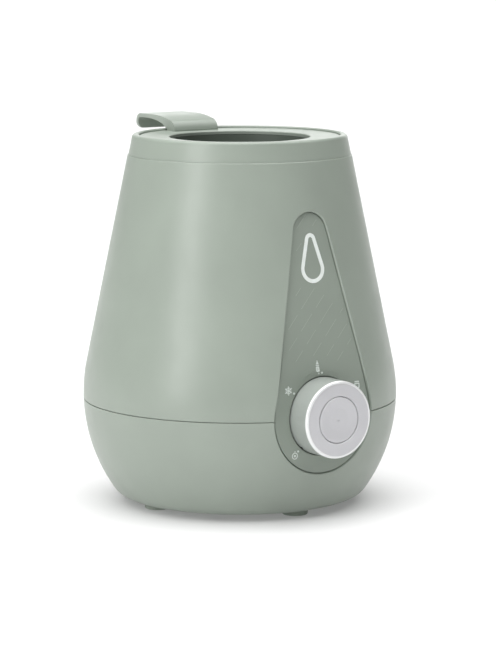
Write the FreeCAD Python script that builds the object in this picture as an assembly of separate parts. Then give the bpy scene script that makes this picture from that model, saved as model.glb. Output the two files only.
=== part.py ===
import FreeCAD, Part
import math
import os
from FreeCAD import Vector

# A bottle warmer: a pear-shaped housing round a heated water tank, with a lift-out bottle lifter,
# a flat control panel and a rotary knob with a push button in its middle.
# Millimetres. +Z is up, the panel faces -Y, and the origin is on the floor under the housing's axis.

# ---- Driving dimensions -------------------------------------------------------------------------

# Housing outline: an arc for the belly, then a straight cone up to the rim
BELLY_CENTRE_R = -3.6
BELLY_CENTRE_Z = 56.0
BELLY_RADIUS = 85.0
CONE_HALF_ANGLE = math.radians(11.6)
UNDERSIDE_Z = 3.0
UNDERSIDE_FILLET = 10.0
RIM_Z = 190.5
WALL = 2.5

# Seams between the housing's three mouldings, and the tongue that locates the lower one
LOWER_SEAM_Z = 54.0
UPPER_SEAM_Z = 180.3
LOWER_SEAM_GAP = 0.3
LOWER_SEAM_BEVEL = 0.2
UPPER_SEAM_GAP = 0.1
UPPER_SEAM_BEVEL = 0.4
COLLAR_INSET = 0.4
SEAM_TONGUE_INNER_R = 77.3
SEAM_TONGUE_ROOT_R = 79.4
SEAM_TONGUE_ROOT_Z = 48.0
SEAM_TONGUE_TOP_Z = 58.0

# Rim and deck
LIP_INNER_R = 51.8
LIP_FILLET = 1.8
LEDGE_Z = 187.0
COLLAR_BORE_R = 47.0
COLLAR_BASE_Z = 183.4
COLLAR_TONGUE_R = 54.7
COLLAR_TONGUE = 2.0
COLLAR_TONGUE_BOTTOM_Z = 172.0
COLLAR_PILOT_TOP_Z = 186.2

# Bottle lifter
OPENING_R = 36.0
DECK_R = 51.4
DECK_OUTER_Z = 189.5
DECK_INNER_Z = 189.1
DECK_BOTTOM_Z = 187.3
DECK_HOLE_STEP = 0.2
LIFTER_WALL = 1.8
BASKET_SOCKET_R = 38.1
SOCKET_BOTTOM_Z = 173.0
BASKET_WALL = 2.0
BASKET_FLOOR_Z = 66.0
BASKET_GUIDE_Z = 168.0
BASKET_WINDOWS = 10
BASKET_WINDOW_WIDTH = 11.0
BASKET_HOLES = 6
BASKET_HOLE_R = 6.0
BASKET_HOLE_CIRCLE_R = 22.0

# Lift tab
TAB_WIDTH = 27.0
TAB_ROOT_Y = 41.2
TAB_TOP_Z = 196.9
TAB_ROOT_TOP_Z = 190.0
TAB_SHOULDER = (46.8, 195.1)
TAB_GUSSET = 1.6
TAB_GUSSET_REACH = 7.6
TAB_THICKNESS = 2.0
TAB_FLAT_Y = 67.0
TAB_BEND_Y = 75.7
TAB_BEND_R = 4.05
TAB_END_Z = 188.8
TAB_CORNER_R = 3.4

# Control panel: two circles joined by tangents, seen from the front
PANEL_LOW_Z = 54.3
PANEL_LOW_R = 28.95
PANEL_HIGH_Z = 145.4
PANEL_HIGH_R = 9.85
PANEL_Y = -74.9
PANEL_BEND_R = 200.0
PANEL_TILT = math.radians(9.05)
PANEL_PLATE = 2.2
PANEL_GAP = 0.2
PANEL_FLANGE_SETBACK = 4.0
PANEL_FLANGE_WIDTH = 2.6
PANEL_FLANGE = 1.6
PANEL_SIDE_WALL = 2.0
KNOB_WELL_DEPTH = 2.0
KNOB_BACKING_R = 23.0
BUSHING_HOLE_R = 4.8
OPENING_EASE = 0.7

# Drop-shaped status light in the panel
LIGHT_LOW_Z = 127.3
LIGHT_LOW_R = 6.95
LIGHT_HIGH_Z = 141.9
LIGHT_HIGH_R = 3.1
LIGHT_STROKE = 1.95
LIGHT_DEPTH = 1.2

# Knob and its button, on an axis that runs straight back from the panel
KNOB_Z = 54.3
KNOB_FACE_Y = -89.2
KNOB_R = 19.5
KNOB_WELL_R = 20.2
KNOB_DEPTH = 15.6
KNOB_BEVEL = 1.3
KNOB_RING_BACK = KNOB_BEVEL + 0.3
KNOB_FACE_R = 18.2
KNOB_HUB_R = 5.5
KNOB_CUP_DEPTH = 9.4
KNOB_SKIRT = 1.8
KNOB_WEB = 1.6
BUTTON_R = 11.6
BUTTON_GAP = 0.2
BUTTON_STEM_FIT = 0.25
SHAFT_R = 3.0
SHAFT_BORE_R = 1.8
SHAFT_FIT = 0.1
SWITCH_WIDTH = 15.0
SWITCH_DEPTH = 7.0
BUSHING_R = 4.5
LED_Z = 131.0
LED_R = 2.4
POINTER_ANGLE = math.radians(-140)

# Water tank and heater
TANK_TOP_R = 45.5
TANK_FLOOR_R = 44.0
TANK_WALL = 1.8
TANK_FLANGE_R = 52.3
TANK_TOP_Z = 183.2
TANK_FLOOR_Z = 62.2
TANK_FLOOR = 2.0
TANK_BOSS_R = 3.2
TANK_BOSS_TOP_Z = 68.0
TANK_MOUTH_R = 38.0
PLATE_TOP_Z = 59.2
PLATE_BOTTOM_Z = 56.2
PLATE_R = 43.5
PLATE_STEP = 1.8
CLAMP_INNER_R = 34.0
CLAMP_OUTER_R = 50.0
CLAMP_THICKNESS = 1.6
ELEMENT_RING_R = 24.0
ELEMENT_TUBE_R = 3.2
ELEMENT_GAP_DEGREES = 60
ELEMENT_PIN_Z = 44.0
THERMOSTAT_CAN_R = 8.3
THERMOSTAT_CAN_Z = 50.7
THERMOSTAT_BODY_R = 7.2
THERMOSTAT_BODY_Z = 44.5
THERMOSTAT_BLADE_Z = 38.5
FUSE_R = 2.0
FUSE_Y = 14.0
SENSOR_R = 2.6
SENSOR_Y = -14.0

# Fasteners and feet
FOOT_CIRCLE_R = 50.7
FOOT_R = 6.6
FOOT_RECESS = 1.0
FOOT_FIT = 0.2
CASE_SCREW_CIRCLE_R = 56.0
CASE_SCREW_SEAT_Z = 40.0
CASE_SCREW_LENGTH = 22.0
CASE_POST_R = 4.2
CASE_POST_TOP_Z = 78.0
CASE_BOSS_R = 5.6
CASE_HEAD_HOLE_R = 3.6
TANK_SCREW_CIRCLE_R = 49.8
CLAMP_SCREW_CIRCLE_R = 47.2
SCREW_R = 1.5
SMALL_SCREW_R = 1.1
SCREW_CLEARANCE = 0.2
DIAGONALS = [45.0, 135.0, 225.0, 315.0]
DRAIN_SLOTS = 8
DRAIN_SLOT_HALF = 1.5
DRAIN_SLOT_INNER_R = 24.0
DRAIN_SLOT_OUTER_R = 36.0

# Boards
POWER_BOARD_Z = 14.0
BOARD_THICKNESS = 1.6
BOARD_POST_R = 3.0
POWER_BOARD_TOP_Z = POWER_BOARD_Z + BOARD_THICKNESS
POWER_BOARD_WIDTH = 68.0
POWER_BOARD_FRONT_Y = -24.0
POWER_BOARD_BACK_Y = 30.0
POWER_BOARD_HOLES = [(-30.0, -18.0), (30.0, -18.0), (-30.0, 24.0), (30.0, 24.0)]
CONTROL_BOARD_Y = -58.0
CONTROL_BOARD_WIDTH = 36.0
CONTROL_BOARD_BOTTOM_Z = 30.0
CONTROL_BOARD_TOP_Z = 140.0
CONTROL_BOARD_HOLES = [(-12.0, 33.0), (12.0, 33.0), (-14.0, 80.0), (14.0, 80.0)]

# Appliance inlet in the back of the lower shell
INLET_Z = 30.0
INLET_FACE_Y = 71.5
INLET_FACE_WIDTH = 28.0
INLET_FACE_HEIGHT = 16.0
INLET_BODY_WIDTH = 22.0
INLET_BODY_HEIGHT = 11.0
INLET_BACK_Y = 55.0
INLET_DEPTH = 12.0
INLET_FIT = 0.2
INLET_PLATE = 2.0
INLET_LOBE_R = 4.6
INLET_WAIST_HALF = 3.4
INLET_PIN_TAIL = 6.0
INLET_PIN_X = 4.3
INLET_PIN_R = 1.2

LEAD_R = 0.9
CONTROL_LEAD_R = 1.6

Y_AXIS = Vector(0, 1, 0)
Z_AXIS = Vector(0, 0, 1)
ORIGIN = Vector(0, 0, 0)
FAR = 200.0
PRISM_FRONT_Y = -100.0
PRISM_BACK_Y = -50.0


# ---- Shape helpers ------------------------------------------------------------------------------

def box(x0, x1, y0, y1, z0, z1):
    """A box between two corners."""
    return Part.makeBox(x1 - x0, y1 - y0, z1 - z0, Vector(x0, y0, z0))


def rod(radius, start, end):
    """A cylinder from one point to another."""
    start = Vector(*start)
    along = Vector(*end) - start
    return Part.makeCylinder(radius, along.Length, start, along)


def line(a, b):
    return Part.makeLine(a, b)


def arc(a, middle, b):
    return Part.Arc(a, middle, b).toShape()


def turned(points):
    """A solid of revolution about Z from (radius, height) corners."""
    corners = [Vector(r, 0, z) for r, z in points]
    return Part.Face(Part.makePolygon(corners + corners[:1])).revolve(ORIGIN, Z_AXIS, 360)


def turned_edges(edges):
    """A solid of revolution about Z from a closed loop of edges in the XZ plane."""
    return Part.Face(Part.Wire(edges)).revolve(ORIGIN, Z_AXIS, 360)


def knob_turned(points):
    """A solid of revolution about the knob's axis from (radius, depth behind the face) corners."""
    corners = [Vector(r, KNOB_FACE_Y + depth, KNOB_Z) for r, depth in points]
    face = Part.Face(Part.makePolygon(corners + corners[:1]))
    return face.revolve(Vector(0, 0, KNOB_Z), Y_AXIS, 360)


def around(shape, angle):
    """A copy of a shape turned about Z, in degrees."""
    copy = shape.copy()
    copy.rotate(ORIGIN, Z_AXIS, angle)
    return copy


def fused(first, others):
    return first.fuse(others).removeSplitter()


def edges_where(shape, test):
    """The edges of a shape whose sampled points all pass a test."""
    return [edge for edge in shape.Edges if all(test(point) for point in edge.discretize(5))]


def screw(shank_r, length, head_r, head_height):
    """A cross-head screw standing on its head: the head is below z=0 and the shank rises from it."""
    head = Part.makeCylinder(head_r, head_height, Vector(0, 0, -head_height))
    shank = Part.makeCylinder(shank_r, length)
    slot_depth = head_height * 0.5
    slot = head_r * 0.6
    blade = head_r * 0.14
    cross = [
        box(-slot, slot, -blade, blade, -head_height, -head_height + slot_depth),
        box(-blade, blade, -slot, slot, -head_height, -head_height + slot_depth),
    ]
    return fused(head, [shank]).cut(cross)


def placed(shape, point, axis=Z_AXIS):
    """A copy of a shape with its +Z laid along an axis and its origin moved to a point."""
    copy = shape.copy()
    copy.Placement = FreeCAD.Placement(Vector(*point), FreeCAD.Rotation(Z_AXIS, axis))
    return copy


def lead(points, radius):
    """A wire along straight runs joined by tangent arcs, each as large as its two runs allow."""
    points = [Vector(*point) for point in points]
    edges = []
    start = points[0]
    for before, corner, after in zip(points, points[1:], points[2:]):
        way_in = (corner - before).normalize()
        way_out = (after - corner).normalize()
        half_turn = way_in.getAngle(way_out) / 2
        reach = 0.45 * min((corner - before).Length, (after - corner).Length)
        bend = reach / math.tan(half_turn)
        inward = (way_out - way_in).normalize()
        arc_start = corner - way_in * reach
        arc_end = corner + way_out * reach
        arc_middle = corner + inward * (bend / math.cos(half_turn) - bend)
        edges.append(line(start, arc_start))
        edges.append(arc(arc_start, arc_middle, arc_end))
        start = arc_end
    edges.append(line(start, points[-1]))
    section = Part.Wire(Part.makeCircle(radius, points[0], points[1] - points[0]))
    return Part.Wire(edges).makePipeShell([section], True, True)


# ---- Housing outline ----------------------------------------------------------------------------

def wall_radius(z, inset=0.0):
    """The housing's radius at a height, on a surface a given depth inside the outer one."""
    arc_r = BELLY_RADIUS - inset
    tangent_z = BELLY_CENTRE_Z + arc_r * math.sin(CONE_HALF_ANGLE)
    if z <= tangent_z:
        return BELLY_CENTRE_R + math.sqrt(arc_r ** 2 - (z - BELLY_CENTRE_Z) ** 2)
    tangent_r = BELLY_CENTRE_R + arc_r * math.cos(CONE_HALF_ANGLE)
    return tangent_r - (z - tangent_z) * math.tan(CONE_HALF_ANGLE)


def belly_point(arc_r, angle):
    r = BELLY_CENTRE_R + arc_r * math.cos(angle)
    return Vector(r, 0, BELLY_CENTRE_Z + arc_r * math.sin(angle))


def blank(inset, top=RIM_Z + 10):
    """The whole housing as one solid of revolution, offset inwards by inset."""
    arc_r = BELLY_RADIUS - inset
    fillet = UNDERSIDE_FILLET - inset
    floor_z = UNDERSIDE_Z + inset
    fillet_z = floor_z + fillet
    reach = math.sqrt((arc_r - fillet) ** 2 - (BELLY_CENTRE_Z - fillet_z) ** 2)
    fillet_centre = Vector(BELLY_CENTRE_R + reach, 0, fillet_z)
    low_angle = math.atan2(fillet_z - BELLY_CENTRE_Z, reach)
    middle_angle = (low_angle - math.pi / 2) / 2
    fillet_middle = fillet_centre + Vector(math.cos(middle_angle), 0, math.sin(middle_angle)) * fillet
    floor_end = Vector(fillet_centre.x, 0, floor_z)
    belly_start = belly_point(arc_r, low_angle)
    belly_middle = belly_point(arc_r, (low_angle + CONE_HALF_ANGLE) / 2)
    belly_end = belly_point(arc_r, CONE_HALF_ANGLE)
    cone_top = Vector(wall_radius(top, inset), 0, top)
    axis_top = Vector(0, 0, top)
    axis_floor = Vector(0, 0, floor_z)
    return turned_edges([
        line(axis_floor, floor_end),
        arc(floor_end, fillet_middle, belly_start),
        arc(belly_start, belly_middle, belly_end),
        line(belly_end, cone_top),
        line(cone_top, axis_top),
        line(axis_top, axis_floor),
    ])


def housing_slice(z0, z1):
    """The housing's wall between two heights."""
    wall = blank(0.0).cut([blank(WALL)])
    return wall.common(box(-FAR, FAR, -FAR, FAR, z0, z1))


def bevel_seam(shape, z, size):
    """Bevel the outer edge of a moulding at a seam."""
    radius = wall_radius(z)

    def on_seam(point):
        return abs(point.z - z) < 1e-4 and abs(math.hypot(point.x, point.y) - radius) < 1e-3

    return shape.makeChamfer(size, edges_where(shape, on_seam))


# ---- Panel outline ------------------------------------------------------------------------------

def drop_prism(low_z, low_r, high_z, high_r):
    """A prism through the panel along Y; its section is two circles joined by their outer tangents."""
    lean = math.asin((low_r - high_r) / (high_z - low_z))

    def on_circle(z, r, angle):
        return Vector(r * math.cos(angle), PRISM_FRONT_Y, z + r * math.sin(angle))

    low_right = on_circle(low_z, low_r, lean)
    low_left = on_circle(low_z, low_r, math.pi - lean)
    high_right = on_circle(high_z, high_r, lean)
    high_left = on_circle(high_z, high_r, math.pi - lean)
    outline = Part.Wire([
        arc(low_right, on_circle(low_z, low_r, -math.pi / 2), low_left),
        line(low_left, high_left),
        arc(high_left, on_circle(high_z, high_r, math.pi / 2), high_right),
        line(high_right, low_right),
    ])
    return Part.Face(outline).extrude(Vector(0, PRISM_BACK_Y - PRISM_FRONT_Y, 0))


def panel_prism(growth):
    low_r = PANEL_LOW_R + growth
    high_r = PANEL_HIGH_R + growth
    return drop_prism(PANEL_LOW_Z, low_r, PANEL_HIGH_Z, high_r)


def light_prism(growth):
    low_r = LIGHT_LOW_R + growth
    high_r = LIGHT_HIGH_R + growth
    return drop_prism(LIGHT_LOW_Z, low_r, LIGHT_HIGH_Z, high_r)


def panel_surface_y(z):
    """Where the panel's front face lies: upright at the knob, then bent back to follow the cone."""
    bend_height = PANEL_BEND_R * math.sin(PANEL_TILT)
    rise = z - PANEL_LOW_Z
    if rise <= 0:
        return PANEL_Y
    if rise < bend_height:
        return PANEL_Y + PANEL_BEND_R - math.sqrt(PANEL_BEND_R ** 2 - rise ** 2)
    bend_depth = PANEL_BEND_R * (1 - math.cos(PANEL_TILT))
    return PANEL_Y + bend_depth + (rise - bend_height) * math.tan(PANEL_TILT)


def panel_slab(front, back):
    """A sheet that is flat across X and follows the panel's side view, between two depths."""
    low_z = 10.0
    high_z = 170.0
    bend_end_z = PANEL_LOW_Z + PANEL_BEND_R * math.sin(PANEL_TILT)
    bend_middle_z = PANEL_LOW_Z + PANEL_BEND_R * math.sin(PANEL_TILT / 2)

    def at(z, depth):
        return Vector(-50, panel_surface_y(z) + depth, z)

    def face_edges(depth):
        return [
            line(at(low_z, depth), at(PANEL_LOW_Z, depth)),
            arc(at(PANEL_LOW_Z, depth), at(bend_middle_z, depth), at(bend_end_z, depth)),
            line(at(bend_end_z, depth), at(high_z, depth)),
        ]

    loop = face_edges(front) + face_edges(back)
    loop.append(line(at(low_z, front), at(low_z, back)))
    loop.append(line(at(high_z, front), at(high_z, back)))
    section = Part.Face(Part.Wire(Part.__sortEdges__(loop)))
    return section.extrude(Vector(100, 0, 0))


def ease_panel_opening(shape, size):
    """Round the housing's outer edge where the panel's opening cuts it."""

    def on_opening(point):
        on_wall = abs(math.hypot(point.x, point.y) - wall_radius(point.z)) < 1e-3
        return on_wall and point.y < -40

    edges = [edge for edge in edges_where(shape, on_opening) if edge.BoundBox.ZLength > 1.0]
    return shape.makeFillet(size, edges)


# ---- Housing ------------------------------------------------------------------------------------

def case_posts():
    """Posts inside the upper shell that the case screws bite into, each tied to the wall by a rib."""
    rib_half = 1.0
    bottom = LOWER_SEAM_Z + LOWER_SEAM_GAP / 2
    top = CASE_POST_TOP_Z
    post = rod(CASE_POST_R, (CASE_SCREW_CIRCLE_R, 0, bottom), (CASE_SCREW_CIRCLE_R, 0, top))
    rib = box(CASE_SCREW_CIRCLE_R, wall_radius(BELLY_CENTRE_Z), -rib_half, rib_half, bottom + 5, top)
    hole_end = CASE_SCREW_SEAT_Z + CASE_SCREW_LENGTH
    hole = rod(SCREW_R, (CASE_SCREW_CIRCLE_R, 0, bottom), (CASE_SCREW_CIRCLE_R, 0, hole_end))
    bracket = post.fuse(rib).cut([hole]).common(blank(WALL - 0.5))
    return [around(bracket, angle) for angle in DIAGONALS]


def upper_shell():
    bottom = LOWER_SEAM_Z + LOWER_SEAM_GAP / 2
    top = UPPER_SEAM_Z - UPPER_SEAM_GAP / 2
    shell = bevel_seam(housing_slice(bottom, top), bottom, LOWER_SEAM_BEVEL)
    shell = bevel_seam(shell, top, UPPER_SEAM_BEVEL)
    shell = fused(shell, case_posts())
    shell = shell.cut([panel_prism(PANEL_GAP)])
    return ease_panel_opening(shell, OPENING_EASE)


def seam_tongue():
    """The ring that stands up inside the upper shell at the lower seam, left open at the panel."""
    ring_bottom = LOWER_SEAM_Z - 1.0
    root_top = ring_bottom + 0.4
    upper_r = wall_radius(LOWER_SEAM_Z, WALL) - 0.2
    root = turned([
        (SEAM_TONGUE_INNER_R, SEAM_TONGUE_ROOT_Z),
        (SEAM_TONGUE_ROOT_R, SEAM_TONGUE_ROOT_Z),
        (SEAM_TONGUE_ROOT_R, root_top),
        (SEAM_TONGUE_INNER_R, root_top),
    ])
    ring = turned([
        (SEAM_TONGUE_INNER_R, ring_bottom),
        (upper_r, ring_bottom),
        (upper_r, SEAM_TONGUE_TOP_Z),
        (SEAM_TONGUE_INNER_R, SEAM_TONGUE_TOP_Z),
    ])
    return root.fuse(ring).cut([panel_prism(5.0)])


def screw_bosses():
    top = LOWER_SEAM_Z - LOWER_SEAM_GAP / 2
    boss = rod(CASE_BOSS_R, (CASE_SCREW_CIRCLE_R, 0, 0), (CASE_SCREW_CIRCLE_R, 0, top))
    boss = boss.common(blank(WALL / 5))
    return [around(boss, angle) for angle in DIAGONALS]


def screw_boss_holes():
    shank_r = SCREW_R + SCREW_CLEARANCE
    x = CASE_SCREW_CIRCLE_R
    head_hole = rod(CASE_HEAD_HOLE_R, (x, 0, 0), (x, 0, CASE_SCREW_SEAT_Z))
    shank_hole = rod(shank_r, (x, 0, 0), (x, 0, LOWER_SEAM_Z))
    hole = head_hole.fuse(shank_hole)
    return [around(hole, angle) for angle in DIAGONALS]


def inlet_frame():
    """A square collar inside the back of the shell that the appliance inlet snaps into."""
    half_width = INLET_FACE_WIDTH / 2 + 2.5
    half_height = INLET_FACE_HEIGHT / 2 + 2.7
    front_y = INLET_FACE_Y - 5.5
    frame = box(-half_width, half_width, front_y, FAR, INLET_Z - half_height, INLET_Z + half_height)
    return frame.common(blank(0.0))


def inlet_hole():
    width = INLET_FACE_WIDTH / 2 + INLET_FIT
    height = INLET_FACE_HEIGHT / 2 + INLET_FIT
    shoulder_y = INLET_FACE_Y - INLET_PLATE - INLET_FIT
    mouth = box(-width, width, shoulder_y, FAR, INLET_Z - height, INLET_Z + height)
    body_width = INLET_BODY_WIDTH / 2 + INLET_FIT
    body_height = INLET_BODY_HEIGHT / 2 + INLET_FIT
    passage = box(-body_width, body_width, INLET_BACK_Y, FAR, INLET_Z - body_height, INLET_Z + body_height)
    return mouth.fuse(passage)


def foot_positions():
    return [(FOOT_CIRCLE_R, 0), (0, FOOT_CIRCLE_R), (-FOOT_CIRCLE_R, 0), (0, -FOOT_CIRCLE_R)]


def drain_slots():
    """Slots through the underside that let spilt water out."""
    top = UNDERSIDE_Z + WALL + 1
    ends = [rod(DRAIN_SLOT_HALF, (r, 0, 0), (r, 0, top)) for r in (DRAIN_SLOT_INNER_R, DRAIN_SLOT_OUTER_R)]
    middle = box(DRAIN_SLOT_INNER_R, DRAIN_SLOT_OUTER_R, -DRAIN_SLOT_HALF, DRAIN_SLOT_HALF, 0, top)
    slot = middle.fuse(ends)
    turn = 360.0 / DRAIN_SLOTS
    return [around(slot, turn * (step + 0.5)) for step in range(DRAIN_SLOTS)]


def board_standoffs():
    bottom = UNDERSIDE_Z + 1
    return [rod(BOARD_POST_R, (x, y, bottom), (x, y, POWER_BOARD_Z)) for x, y in POWER_BOARD_HOLES]


def lower_shell():
    top = LOWER_SEAM_Z - LOWER_SEAM_GAP / 2
    shell = bevel_seam(housing_slice(0, top), top, LOWER_SEAM_BEVEL)
    shell = fused(shell, [seam_tongue()] + screw_bosses() + board_standoffs() + [inlet_frame()])
    recess_top = UNDERSIDE_Z + FOOT_RECESS
    recesses = [rod(FOOT_R + FOOT_FIT, (x, y, 0), (x, y, recess_top)) for x, y in foot_positions()]
    pilot_bottom = POWER_BOARD_Z - 7.0
    pilots = [rod(SMALL_SCREW_R, (x, y, pilot_bottom), (x, y, POWER_BOARD_Z)) for x, y in POWER_BOARD_HOLES]
    holes = screw_boss_holes() + recesses + pilots + drain_slots() + [inlet_hole(), panel_prism(PANEL_GAP)]
    return ease_panel_opening(shell.cut(holes), OPENING_EASE)


def foot_pads():
    pads = []
    for x, y in foot_positions():
        pad = Part.makeCylinder(FOOT_R, UNDERSIDE_Z + FOOT_RECESS, Vector(x, y, 0))
        rim = edges_where(pad, lambda point: abs(point.z) < 1e-6)
        pads.append(pad.makeFillet(0.8, rim))
    return Part.makeCompound(pads)


def base_screws():
    one = screw(SCREW_R, CASE_SCREW_LENGTH, head_r=2.9, head_height=2.4)
    one = placed(one, (CASE_SCREW_CIRCLE_R, 0, CASE_SCREW_SEAT_Z))
    return Part.makeCompound([around(one, angle) for angle in DIAGONALS])


def collar():
    """The top ring: the rim, the ledge the lifter rests on, and a tongue inside the upper shell."""
    bottom = UPPER_SEAM_Z + UPPER_SEAM_GAP / 2
    fillet_z = RIM_Z - LIP_FILLET
    fillet_centre = Vector(wall_radius(fillet_z, LIP_FILLET + COLLAR_INSET), 0, fillet_z)

    def on_fillet(angle):
        return fillet_centre + Vector(math.cos(angle), 0, math.sin(angle)) * LIP_FILLET

    fillet_start = on_fillet(CONE_HALF_ANGLE)
    fillet_middle = on_fillet((CONE_HALF_ANGLE + math.pi / 2) / 2)
    fillet_end = on_fillet(math.pi / 2)
    tongue_inner_r = COLLAR_TONGUE_R - COLLAR_TONGUE
    lip_ease = 0.5
    outline = [
        (LIP_INNER_R + lip_ease, RIM_Z),
        (LIP_INNER_R, RIM_Z - lip_ease),
        (LIP_INNER_R, LEDGE_Z),
        (COLLAR_BORE_R, LEDGE_Z),
        (COLLAR_BORE_R, COLLAR_BASE_Z),
        (tongue_inner_r, COLLAR_BASE_Z),
        (tongue_inner_r, COLLAR_TONGUE_BOTTOM_Z),
        (COLLAR_TONGUE_R, COLLAR_TONGUE_BOTTOM_Z),
        (COLLAR_TONGUE_R, bottom),
        (wall_radius(bottom, COLLAR_INSET), bottom),
    ]
    corners = [fillet_end] + [Vector(r, 0, z) for r, z in outline] + [fillet_start]
    edges = [line(a, b) for a, b in zip(corners, corners[1:])]
    edges.append(arc(fillet_start, fillet_middle, fillet_end))
    pilot_r = TANK_SCREW_CIRCLE_R
    pilot = rod(SMALL_SCREW_R, (pilot_r, 0, COLLAR_BASE_Z), (pilot_r, 0, COLLAR_PILOT_TOP_Z))
    return turned_edges(edges).cut([around(pilot, angle) for angle in DIAGONALS])


# ---- Control panel ------------------------------------------------------------------------------

def control_panel():
    """A flat-faced tray that fills the drop-shaped opening and is flanged behind the shells."""
    outline = panel_prism(-PANEL_GAP)
    inside = panel_prism(-PANEL_GAP - PANEL_SIDE_WALL)
    flange_front = PANEL_FLANGE_SETBACK
    flange_back = PANEL_FLANGE_SETBACK + PANEL_FLANGE
    tray = outline.common(panel_slab(0, flange_back))
    tray = tray.cut([inside.common(panel_slab(PANEL_PLATE, flange_back + 1))])
    flange = panel_prism(PANEL_FLANGE_WIDTH).common(panel_slab(flange_front, flange_back)).cut([inside])
    well_floor_y = PANEL_Y + KNOB_WELL_DEPTH
    backing = rod(KNOB_BACKING_R, (0, PANEL_Y + 1.0, KNOB_Z), (0, well_floor_y + PANEL_PLATE, KNOB_Z))
    posts = []
    pilots = []
    for x, z in CONTROL_BOARD_HOLES:
        post_front = panel_surface_y(z) + 1.0
        posts.append(rod(BOARD_POST_R, (x, post_front, z), (x, CONTROL_BOARD_Y, z)))
        pilots.append(rod(SMALL_SCREW_R, (x, CONTROL_BOARD_Y - 7, z), (x, CONTROL_BOARD_Y, z)))
    panel = fused(tray, [flange, backing] + posts)
    well = rod(KNOB_WELL_R, (0, PANEL_Y - 5, KNOB_Z), (0, well_floor_y, KNOB_Z))
    bushing_hole = rod(BUSHING_HOLE_R, (0, PANEL_Y - 5, KNOB_Z), (0, PANEL_Y + 10, KNOB_Z))
    return panel.cut([well, bushing_hole, light_groove()] + pilots)


def light_ring():
    return light_prism(0.0).cut([light_prism(-LIGHT_STROKE)])


def light_groove():
    return light_ring().common(panel_slab(-1.0, LIGHT_DEPTH))


def status_light():
    """The drop-shaped light guide let into the panel's face."""
    return light_ring().common(panel_slab(-0.1, LIGHT_DEPTH))


def control_board():
    half = CONTROL_BOARD_WIDTH / 2
    back = CONTROL_BOARD_Y + BOARD_THICKNESS
    board = box(-half, half, CONTROL_BOARD_Y, back, CONTROL_BOARD_BOTTOM_Z, CONTROL_BOARD_TOP_Z)
    holes = []
    for x, z in CONTROL_BOARD_HOLES:
        hole_r = SMALL_SCREW_R + SCREW_CLEARANCE
        holes.append(rod(hole_r, (x, CONTROL_BOARD_Y - 1, z), (x, back + 1, z)))
    return board.cut(holes)


def control_board_screws():
    one = screw(SMALL_SCREW_R, length=8.0, head_r=2.1, head_height=1.6)
    back = CONTROL_BOARD_Y + BOARD_THICKNESS
    return Part.makeCompound([placed(one, (x, back, z), -Y_AXIS) for x, z in CONTROL_BOARD_HOLES])


def rotary_switch():
    half = SWITCH_WIDTH / 2
    front = CONTROL_BOARD_Y - SWITCH_DEPTH
    body = box(-half, half, front, CONTROL_BOARD_Y, KNOB_Z - half, KNOB_Z + half)
    bushing_front = front - 7
    bushing = rod(BUSHING_R, (0, bushing_front, KNOB_Z), (0, front, KNOB_Z))
    bore_end = CONTROL_BOARD_Y - 2.5
    bore = rod(SHAFT_R + SHAFT_FIT, (0, bushing_front - 1, KNOB_Z), (0, bore_end, KNOB_Z))
    return fused(body, [bushing]).cut([bore])


def status_led():
    """A round lamp standing on the board: a flanged barrel with a domed end."""
    dome_y = CONTROL_BOARD_Y - LED_R
    flange = rod(LED_R + 0.5, (0, CONTROL_BOARD_Y - 1.0, LED_Z), (0, CONTROL_BOARD_Y, LED_Z))
    barrel = rod(LED_R, (0, dome_y, LED_Z), (0, CONTROL_BOARD_Y, LED_Z))
    ball = Part.makeSphere(LED_R, Vector(0, dome_y, LED_Z))
    dome = ball.common(box(-LED_R, LED_R, dome_y - LED_R, dome_y, LED_Z - LED_R, LED_Z + LED_R))
    return fused(barrel, [flange, dome])


# ---- Knob and button ----------------------------------------------------------------------------

def shaft_section():
    """The D-shaped shaft as a solid bar."""
    start = KNOB_FACE_Y + KNOB_CUP_DEPTH - 1.0
    bar = rod(SHAFT_R, (0, start, KNOB_Z), (0, CONTROL_BOARD_Y - 3.5, KNOB_Z))
    flat_end = KNOB_FACE_Y + KNOB_DEPTH + 0.7
    flat_z = KNOB_Z + 0.8 * SHAFT_R
    flat = box(-SHAFT_R, SHAFT_R, start - 1, flat_end, flat_z, KNOB_Z + SHAFT_R)
    return bar.cut([flat])


def knob_body():
    inner_r = KNOB_R - KNOB_SKIRT
    cup_r = BUTTON_R + BUTTON_GAP
    cup_outer_r = cup_r + 1.4
    front = KNOB_RING_BACK
    web_back = front + KNOB_WEB
    cup_back = KNOB_CUP_DEPTH + KNOB_WEB
    body = knob_turned([
        (KNOB_R, front),
        (KNOB_R, KNOB_DEPTH),
        (inner_r, KNOB_DEPTH),
        (inner_r, web_back),
        (cup_outer_r, web_back),
        (cup_outer_r, cup_back),
        (KNOB_HUB_R, cup_back),
        (KNOB_HUB_R, KNOB_DEPTH),
        (0.0, KNOB_DEPTH),
        (0.0, KNOB_CUP_DEPTH),
        (cup_r, KNOB_CUP_DEPTH),
        (cup_r, front),
    ])
    notch_half = 0.9
    notch_front = KNOB_FACE_Y + KNOB_DEPTH - 2.6
    notch_back = KNOB_FACE_Y + KNOB_DEPTH + 1
    notch = box(-notch_half, notch_half, notch_front, notch_back, KNOB_Z + inner_r - 1, KNOB_Z + KNOB_R + 1)
    notch.rotate(Vector(0, 0, KNOB_Z), Y_AXIS, math.degrees(POINTER_ANGLE))
    return body.cut([shaft_section(), notch])


def knob_shaft():
    bore = rod(SHAFT_BORE_R, (0, KNOB_FACE_Y, KNOB_Z), (0, CONTROL_BOARD_Y, KNOB_Z))
    return shaft_section().cut([bore])


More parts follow.
